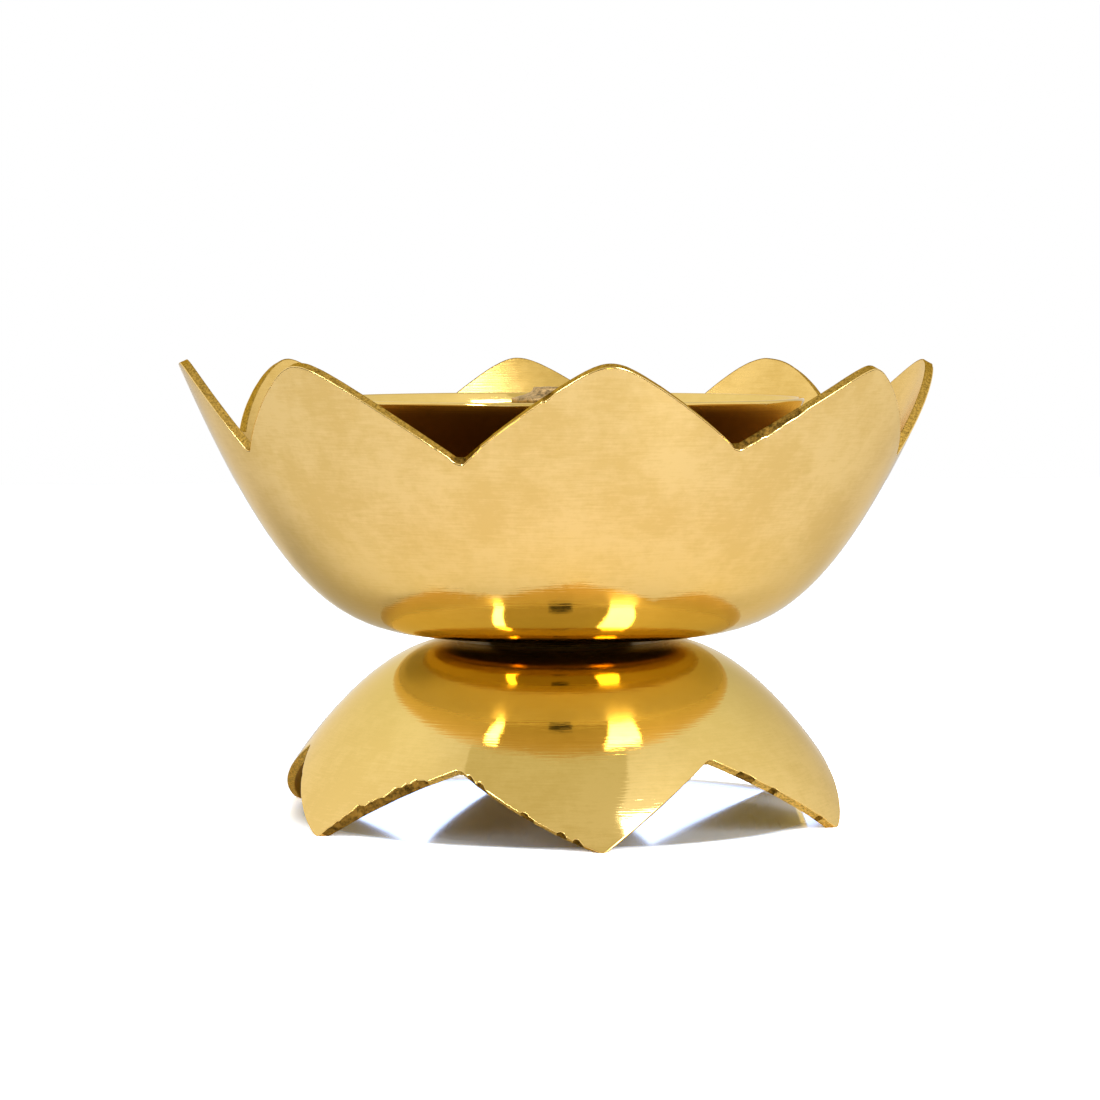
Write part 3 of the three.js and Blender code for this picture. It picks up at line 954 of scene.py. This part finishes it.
def polished_brass(name, sign, roughness, lines, dark=BRASS, pale=PALE_BRASS, edge=BRASS_EDGE):
    """Turned and buffed brass. The sign tells whether the wall leans outwards or inwards."""
    material = new_metal(name, dark, roughness, edge)
    shader = shader_of(material)
    place = place_in(material)
    radius = radius_in(material, place)[0]
    grooves = ring_bump(material, place, sign, LATHE_LINES, lines)[1]
    marks, scratches = ring_bump(material, place, sign, SCRATCHES, lines, grooves)
    clouds, waves = noise_bump(material, place, CLOUD_SCALE, 3.0, CLOUD_DEPTH, scratches)
    feed(material, waves, shader.inputs["Normal"])

    smooth, rough = roughness * SMOOTHEST, roughness * ROUGHEST
    spread = remap(material, clouds, CLOUD_LOW, CLOUD_HIGH, smooth, rough)
    unbuffed = remap(material, radius, UNBUFFED_FAR, UNBUFFED_NEAR)
    gloss = mix(material, "FLOAT", unbuffed, spread, UNBUFFED_ROUGHNESS)
    feed(material, gloss, shader.inputs["Roughness"])

    mottle = noise_pattern(material, place, MOTTLE_SCALE, 4.0, 0.75)
    speckle = mix(material, "FLOAT", SCRATCH_SHARE, mottle, marks)
    blotch = mix(material, "FLOAT", CLOUD_SHARE, speckle, clouds)
    colour = colour_ramp(material, blotch, BLOTCH_LOW, BLOTCH_HIGH, dark, pale)
    # Painted shade: the colour darkens towards the axis.
    to_neck = remap(material, radius, NECK_FAR, NECK_NEAR)
    neck_shaded = mix(material, "RGBA", to_neck, colour, (*NECK_SHADE_BRASS, 1))
    feed(material, neck_shaded, shader.inputs["Base Color"])
    return material


# %% [markdown]
# ### Rough brass and painted shade inside
#
# A sawn or cast face has a grain, and dirt and shade gather in its hollows. One noise does both: it is
# the bump, and where it is low the colour is darker. Inside the bowls no wheel reaches, so the brass
# gets duller there. Deep inside, its colour turns dark brown, which is painted shade under the cup and
# under the crown. Both are a mix by height from the polished metal to a dull one.

# %% Rough brass and painted shade inside
INSIDE_DULL_ROUGHNESS = 0.45
GRAIN_LOW, GRAIN_HIGH = 0.38, 0.58


def rough_brass(name, colour, roughness, scale, depth, hollows=0.2, edge=SAWN_EDGE):
    """Metal with a grain; the hollows of the grain keep only a share of the colour."""
    material = new_metal(name, colour, roughness, edge)
    shader = shader_of(material)
    grain, skin = noise_bump(material, place_in(material), scale, 6.0, depth, roughness=0.7)
    feed(material, skin, shader.inputs["Normal"])
    hollow = [c * hollows for c in colour]
    seen = colour_ramp(material, grain, GRAIN_LOW, GRAIN_HIGH, hollow, colour)
    feed(material, seen, shader.inputs["Base Color"])
    return material


def shade_inside(material, unshaded_at, shaded_at, colour):
    """Lets a polished metal turn dull, and dark brown as painted shade, from one height to another."""
    shader = shader_of(material)
    place = place_in(material)
    height = add_node(material, "ShaderNodeSeparateXYZ", Vector=place).outputs["Z"]
    shade_share = remap(material, height, unshaded_at, shaded_at, interpolation_type="SMOOTHSTEP")
    for name, kind, shaded in (
        ("Base Color", "RGBA", (*colour, 1)), ("Roughness", "FLOAT", INSIDE_DULL_ROUGHNESS),
    ):
        unshaded = shader.inputs[name].links[0].from_socket
        feed(material, mix(material, kind, shade_share, unshaded, shaded), shader.inputs[name])


# %% [markdown]
# ### The metals of the lamp
#
# All of it is one brass, and each surface has the finish that its tool left: buffed outside, only turned
# inside, sawn, broken or raw from the mould. Some colours also carry painted light: the neck ring, the
# deep insides and the hollow of the foot are darkened as painted shade, and the sawn faces of the feet
# are lightened. The hidden nut, washer and stud are zinc plated.

# %% Metals
upright_brass = polished_brass("upright_brass", LEANS_OUT, roughness=0.04, lines=1.3)
upturned_brass = polished_brass(
    "upturned_brass", LEANS_IN, roughness=0.05, lines=1.0,
    dark=(0.73, 0.495, 0.16), pale=(0.83, 0.58, 0.215),
)
cup_brass = polished_brass(
    "cup_brass", LEANS_OUT, roughness=0.06, lines=1.0,
    dark=(0.74, 0.495, 0.16), pale=(0.82, 0.565, 0.21),
)
inner_brass = polished_brass(
    "inner_brass", LEANS_OUT, roughness=0.23, lines=1.5,
    dark=(0.66, 0.43, 0.115), pale=(0.75, 0.505, 0.155),
)
# Painted shade: dark brown deep in the bowl, under the cup.
shade_inside(inner_brass, unshaded_at=64 * MM, shaded_at=54 * MM, colour=(0.26, 0.13, 0.035))
# Painted shade: a near-black metal for the neck ring, which sits in the gap between the bowl and the
# foot.
ring_shade_brass = rough_brass(
    "ring_shade_brass", (0.12, 0.065, 0.02), roughness=0.55, scale=500.0, depth=0.1 * MM, edge=BRASS_EDGE,
)
# Painted shade: the hollow of the foot has a darker copy of the polished brass.
hollow_brass = polished_brass(
    "hollow_brass", LEANS_IN, roughness=0.3, lines=1.5,
    dark=(0.64, 0.39, 0.08), pale=(0.73, 0.46, 0.115), edge=SAWN_EDGE,
)
# Painted shade: dark brown high in the hollow of the foot, under the crown.
shade_inside(hollow_brass, unshaded_at=13 * MM, shaded_at=20 * MM, colour=(0.3, 0.16, 0.035))
sawn_brass = rough_brass(
    "sawn_brass", (0.5, 0.305, 0.06), roughness=0.45, scale=2600.0, depth=0.06 * MM, hollows=0.4,
)
# Painted light: a paler copy of the sawn brass for the feet, whose sawn faces turn down into shade.
sawn_foot_lightened = rough_brass(
    "sawn_foot_lightened", (0.85, 0.56, 0.14), roughness=0.5, scale=2600.0, depth=0.06 * MM, hollows=0.45,
)
broken_brass = rough_brass(
    "broken_brass", (0.29, 0.16, 0.028), roughness=0.45, scale=900.0, depth=0.15 * MM,
)
cast_brass = rough_brass(
    "cast_brass", (0.6, 0.41, 0.19), roughness=0.5, scale=1100.0, depth=0.2 * MM, hollows=0.3,
    edge=BRASS_EDGE,
)
zinc = new_metal("zinc", (0.6, 0.61, 0.6), roughness=0.35)
print("metals", [material.name for material in bpy.data.materials])

# %% [markdown]
# ### Dressing the pieces
#
# Each piece gets its metals in the order of its face numbers. Then it takes the place of its plain solid
# and rides on the body that moves it; the slot that its real material has is listed beside it.

# %% Dress the lamp
for piece, metals in (
    (petal_bowl, (upright_brass, inner_brass, sawn_brass, broken_brass)),
    (petal_base, (upturned_brass, hollow_brass, sawn_foot_lightened, broken_brass)),
    (cup, (cup_brass,)), (pillar, (upright_brass,)), (neck_ring, (ring_shade_brass,)),
    (wick_nozzle, (cast_brass,)), (steel_washer, (zinc,)), (hexagon_nut, (zinc,)),
    (threaded_stud, (zinc,)),
):
    for metal in metals:
        piece.data.materials.append(metal)

for piece, node, body, slot in (
    (petal_bowl, "lotus_bowl", "lamp", "polished_brass"),
    (petal_base, "lotus_base", "lamp", "polished_brass"),
    (cup, "oil_cup", "lamp", "polished_brass"),
    (pillar, "cup_pillar", "lamp", "polished_brass"),
    (neck_ring, "neck_washer", "lamp", "polished_brass"),
    (steel_washer, "base_washer", "lamp", "zinc_steel"),
    (hexagon_nut, "base_nut", "lamp", "zinc_steel"),
    (threaded_stud, "centre_stud", "lamp", "zinc_steel"),
    (wick_nozzle, "wick_holder", "wick_holder", "cast_brass"),
):
    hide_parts(node)
    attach(piece, body)

# %% [markdown]
# ## Floor and light
#
# The lamp stands on a pale glossy table. The table is so bright that it burns out to white, but right
# under the lotus it mirrors the dark hollow of the foot, which gives the dark shapes between the feet.
# A mirror all over would be simpler, but it would show the whole lamp upside down. So a mirror is
# mixed in within a circle round the axis, with a soft edge, and only for what the camera sees: the
# light that the table throws up on the brass is that of plain pale paper.

# %% Floor
FLOOR_SIZE = 2.4
PAPER_WHITE = 0.93
TABLE_LIGHT = (2.5, 2.7, 3.0)
MIRROR_TINT = (1.45, 1.8, 2.8)
MIRROR_BLUR = 0.07
MIRROR_SHARE = 0.85
MIRROR_EDGE = (42 * MM, 47 * MM)

deselect_all()
bpy.ops.mesh.primitive_plane_add(size=FLOOR_SIZE)
floor = bpy.context.object
floor.name = "floor"
paper = new_material("paper")
glazed = shader_of(paper)
glazed.inputs["Base Color"].default_value = grey(PAPER_WHITE)
glazed.inputs["Roughness"].default_value = 0.3
glazed.inputs["Specular IOR Level"].default_value = 0.12
plain = add_node(paper, "ShaderNodeBsdfDiffuse", Color=(*TABLE_LIGHT, 1))
mirror = add_node(paper, "ShaderNodeBsdfGlossy", Color=(*MIRROR_TINT, 1), Roughness=MIRROR_BLUR)
place = place_in(paper)
from_axis = add_node(paper, "ShaderNodeVectorMath", operation="LENGTH", Vector=place).outputs["Value"]
mirrored = remap(paper, from_axis, MIRROR_EDGE[1], MIRROR_EDGE[0], high=MIRROR_SHARE)
ray = add_node(paper, "ShaderNodeLightPath").outputs["Is Camera Ray"]


def mix_shaders(owner, share, first, second):
    node = add_node(owner, "ShaderNodeMixShader", Fac=share)
    feed(owner, first, node.inputs[1])
    feed(owner, second, node.inputs[2])
    return node.outputs["Shader"]


seen_floor = mix_shaders(paper, mirrored, plain.outputs["BSDF"], mirror.outputs["BSDF"])
by_ray = mix_shaders(paper, ray, glazed.outputs["BSDF"], seen_floor)
feed(paper, by_ray, paper.node_tree.nodes["Material Output"].inputs["Surface"])
floor.data.materials.append(paper)
print("the mirror fades out between", [round(edge / MM) for edge in MIRROR_EDGE], "mm")

# %% [markdown]
# ## The studio
#
# Polished metal shows the room that it stands in, so the room is half of the finish. Here it is a white
# tent, dimmest behind the lamp on the right, with a dimmer opening for the camera, one large softbox,
# one narrow strip and the dark front of a lens. The cloth shows only in reflections. A photographed
# studio could be wrapped round the scene too, but a tent of a few plain numbers can be matched to a
# reflection one direction at a time.

# %% Light tent
TENT_RADIUS = 2.2
# Azimuth in degrees, 0 is in front and it grows to the right, and how bright the cloth is there.
TENT_LIGHT = [
    (-90, 1.13), (-50, 1.02), (15, 1.25), (50, 1.28), (72, 1.15), (110, 1.04), (150, 0.72), (190, 1.0),
    (240, 1.16), (270, 1.15),
]
TENT_TOP = 0.88
TENT_TOP_FROM = math.radians(50)
GLOW = 2.0


def glow_material(name, strength):
    """A material that only gives light, and its light node."""
    material = new_material(name)
    nodes = material.node_tree.nodes
    nodes.remove(nodes["Principled BSDF"])
    glow = add_node(material, "ShaderNodeEmission", Strength=strength)
    feed(material, glow.outputs["Emission"], nodes["Material Output"].inputs["Surface"])
    return material, glow


def only_mirrored(stage_piece):
    """Keeps a stage piece out of the picture, so that it shows in reflections alone."""
    stage_piece.visible_camera = False
    stage_piece.visible_diffuse = False
    stage_piece.visible_shadow = False
    stage_piece.visible_transmission = False


deselect_all()
bpy.ops.mesh.primitive_uv_sphere_add(segments=64, ring_count=32, radius=TENT_RADIUS)
tent = bpy.context.object
tent.name = "tent"
cloth, glow = glow_material("tent_cloth", GLOW)
place = place_in(cloth)
turned = add_node(cloth, "ShaderNodeTexGradient", gradient_type="RADIAL", Vector=place)
round_tent = add_node(cloth, "ShaderNodeValToRGB", Fac=turned.outputs["Fac"])
stops = round_tent.color_ramp.elements
while len(stops) < len(TENT_LIGHT):
    stops.new(0.5)
for stop, (azimuth, light) in zip(stops, TENT_LIGHT):
    stop.position = (azimuth + 90) / 360
for stop, (azimuth, light) in zip(stops, TENT_LIGHT):
    stop.color = grey(light / GLOW)
height = add_node(cloth, "ShaderNodeSeparateXYZ", Vector=place).outputs["Z"]
to_top = remap(cloth, height, TENT_RADIUS * math.sin(TENT_TOP_FROM), TENT_RADIUS)
cloth_light = mix(cloth, "RGBA", to_top, round_tent.outputs["Color"], grey(TENT_TOP / GLOW))
feed(cloth, cloth_light, glow.inputs["Color"])
tent.data.materials.append(cloth)
only_mirrored(tent)
print("tent light from", min(light for azimuth, light in TENT_LIGHT), "up")

# %% [markdown]
# The camera stands in an opening between the two lamps, which is dimmer than the cloth. It runs up
# over the lotus and shows as a darker panel with sharp sides on the front foot.

# %% Opening of the tent
OPENING_LIGHT = 0.8
OPENING_COLOUR = (1.0, 0.97, 0.78)
OPENING_RADIUS = 0.96 * TENT_RADIUS
# Elevation of each row in degrees, and the azimuths of its left and right edge.
OPENING_EDGES = [
    (-3, -42, 20.5), (10, -43, 20.5), (25, -48, 20.5), (41, -53, 19.5), (49, -61, 19.5),
    (56.5, -72, 32), (62.5, -82, 42), (70, -100, 60),
]

deselect_all()
bpy.ops.mesh.primitive_grid_add(x_subdivisions=16, y_subdivisions=len(OPENING_EDGES) - 1, size=2)
opening = bpy.context.object
opening.name = "opening"
spots = vertex_places(opening)
rows = np.round((spots[:, 1] + 1) / 2 * (len(OPENING_EDGES) - 1)).astype(int)
for spot, row in zip(spots, rows):
    elevation, left, right = OPENING_EDGES[row]
    across = math.radians(left + (right - left) * (spot[0] + 1) / 2)
    up = math.radians(elevation)
    flat = OPENING_RADIUS * math.cos(up)
    spot[:] = (flat * math.sin(across), -flat * math.cos(across), OPENING_RADIUS * math.sin(up))
put_vertices(opening, spots)
gloom, glow = glow_material("gloom", OPENING_LIGHT)
glow.inputs["Color"].default_value = (*OPENING_COLOUR, 1)
opening.data.materials.append(gloom)
only_mirrored(opening)
print("opening reaches up to", OPENING_EDGES[-1][0], "degrees")

# %% [markdown]
# The air around is white where the camera or a reflection sees it, and dimmer as a light on dull
# faces. Were it as bright there too, it would fill the hollows and flatten the lamp.

# %% Air
AIR_LIGHT = 0.34
world = bpy.data.worlds.new("studio")
bpy.context.scene.world = world
world.use_nodes = True
sky = world.node_tree.nodes["Background"]
sky.inputs["Color"].default_value = grey(1)
seen = add_node(world, "ShaderNodeLightPath").outputs
seen_or_mirrored = calculate(world, "MAXIMUM", seen["Is Camera Ray"], seen["Is Glossy Ray"])
seen_at_all = calculate(world, "MAXIMUM", seen_or_mirrored, seen["Is Transmission Ray"])
feed(world, remap(world, seen_at_all, 0.0, 1.0, low=AIR_LIGHT), sky.inputs["Strength"])
print("air light on dull faces", AIR_LIGHT)

# %% [markdown]
# The lens is a dark disc just behind the eye, which leaves the small dark mark in the middle of the
# belly. Without it the belly looks too clean to be real.

# %% Dark lens
LENS_GREY = 0.08
LENS_FRONT = 0.085
LENS_HEIGHT = 0.075
BEHIND_THE_EYE = 1.12
lens = new_material("dark_lens")
shader_of(lens).inputs["Base Color"].default_value = grey(LENS_GREY)
deselect_all()
bpy.ops.mesh.primitive_cylinder_add(vertices=64, radius=LENS_FRONT, depth=0.02)
front_of_lens = bpy.context.object
front_of_lens.name = "front_of_lens"
front_of_lens.location = camera.location * BEHIND_THE_EYE
front_of_lens.location.z = LENS_HEIGHT
front_of_lens.rotation_euler = (math.pi / 2, 0, EYE_AZIMUTH)
front_of_lens.data.materials.append(lens)
front_of_lens.visible_camera = False
front_of_lens.visible_diffuse = False
front_of_lens.visible_shadow = False
print("lens at", [round(v, 3) for v in front_of_lens.location])

# %% [markdown]
# Two area lamps give the long bright shapes on the brass. Each is set by where its foot and its head
# stand round the lamp, because that is what a reflection on a bowl tells: its direction and its slant.

# %% Lamps
def round_the_lamp(azimuth, distance, height):
    """A place in the studio: azimuth 0 is in front of the lotus, and it grows to the right."""
    a = math.radians(azimuth)
    return Vector((distance * math.sin(a), -distance * math.cos(a), height))


def softbox(name, foot, head, width, radiance):
    """A tall lamp from a foot to a head, each an azimuth, a distance and a height."""
    foot, head = round_the_lamp(*foot), round_the_lamp(*head)
    light = bpy.data.lights.new(name, "AREA")
    light.shape = "RECTANGLE"
    light.size = width
    light.size_y = (head - foot).length
    light.energy = radiance * math.pi * light.size * light.size_y
    lamp = bpy.data.objects.new(name, light)
    bpy.context.scene.collection.objects.link(lamp)
    upwards = (head - foot).normalized()
    middle = (foot + head) / 2
    sideways = upwards.cross(middle).normalized()
    backwards = sideways.cross(upwards)
    turned_to_axis = Matrix((sideways, upwards, backwards)).transposed().to_4x4()
    lamp.matrix_world = Matrix.Translation(middle) @ turned_to_axis
    print(name, "height", round(light.size_y, 2), "power", round(light.energy, 1))


softbox("right_box", foot=(28.5, 1.9, 0.05), head=(34, 1.08, 1.16), width=0.5, radiance=14.5)
softbox("left_strip", foot=(-44.5, 1.75, 0.05), head=(-54.5, 1.05, 0.95), width=0.16, radiance=18)

bpy.context.scene.view_settings.view_transform = "Standard"
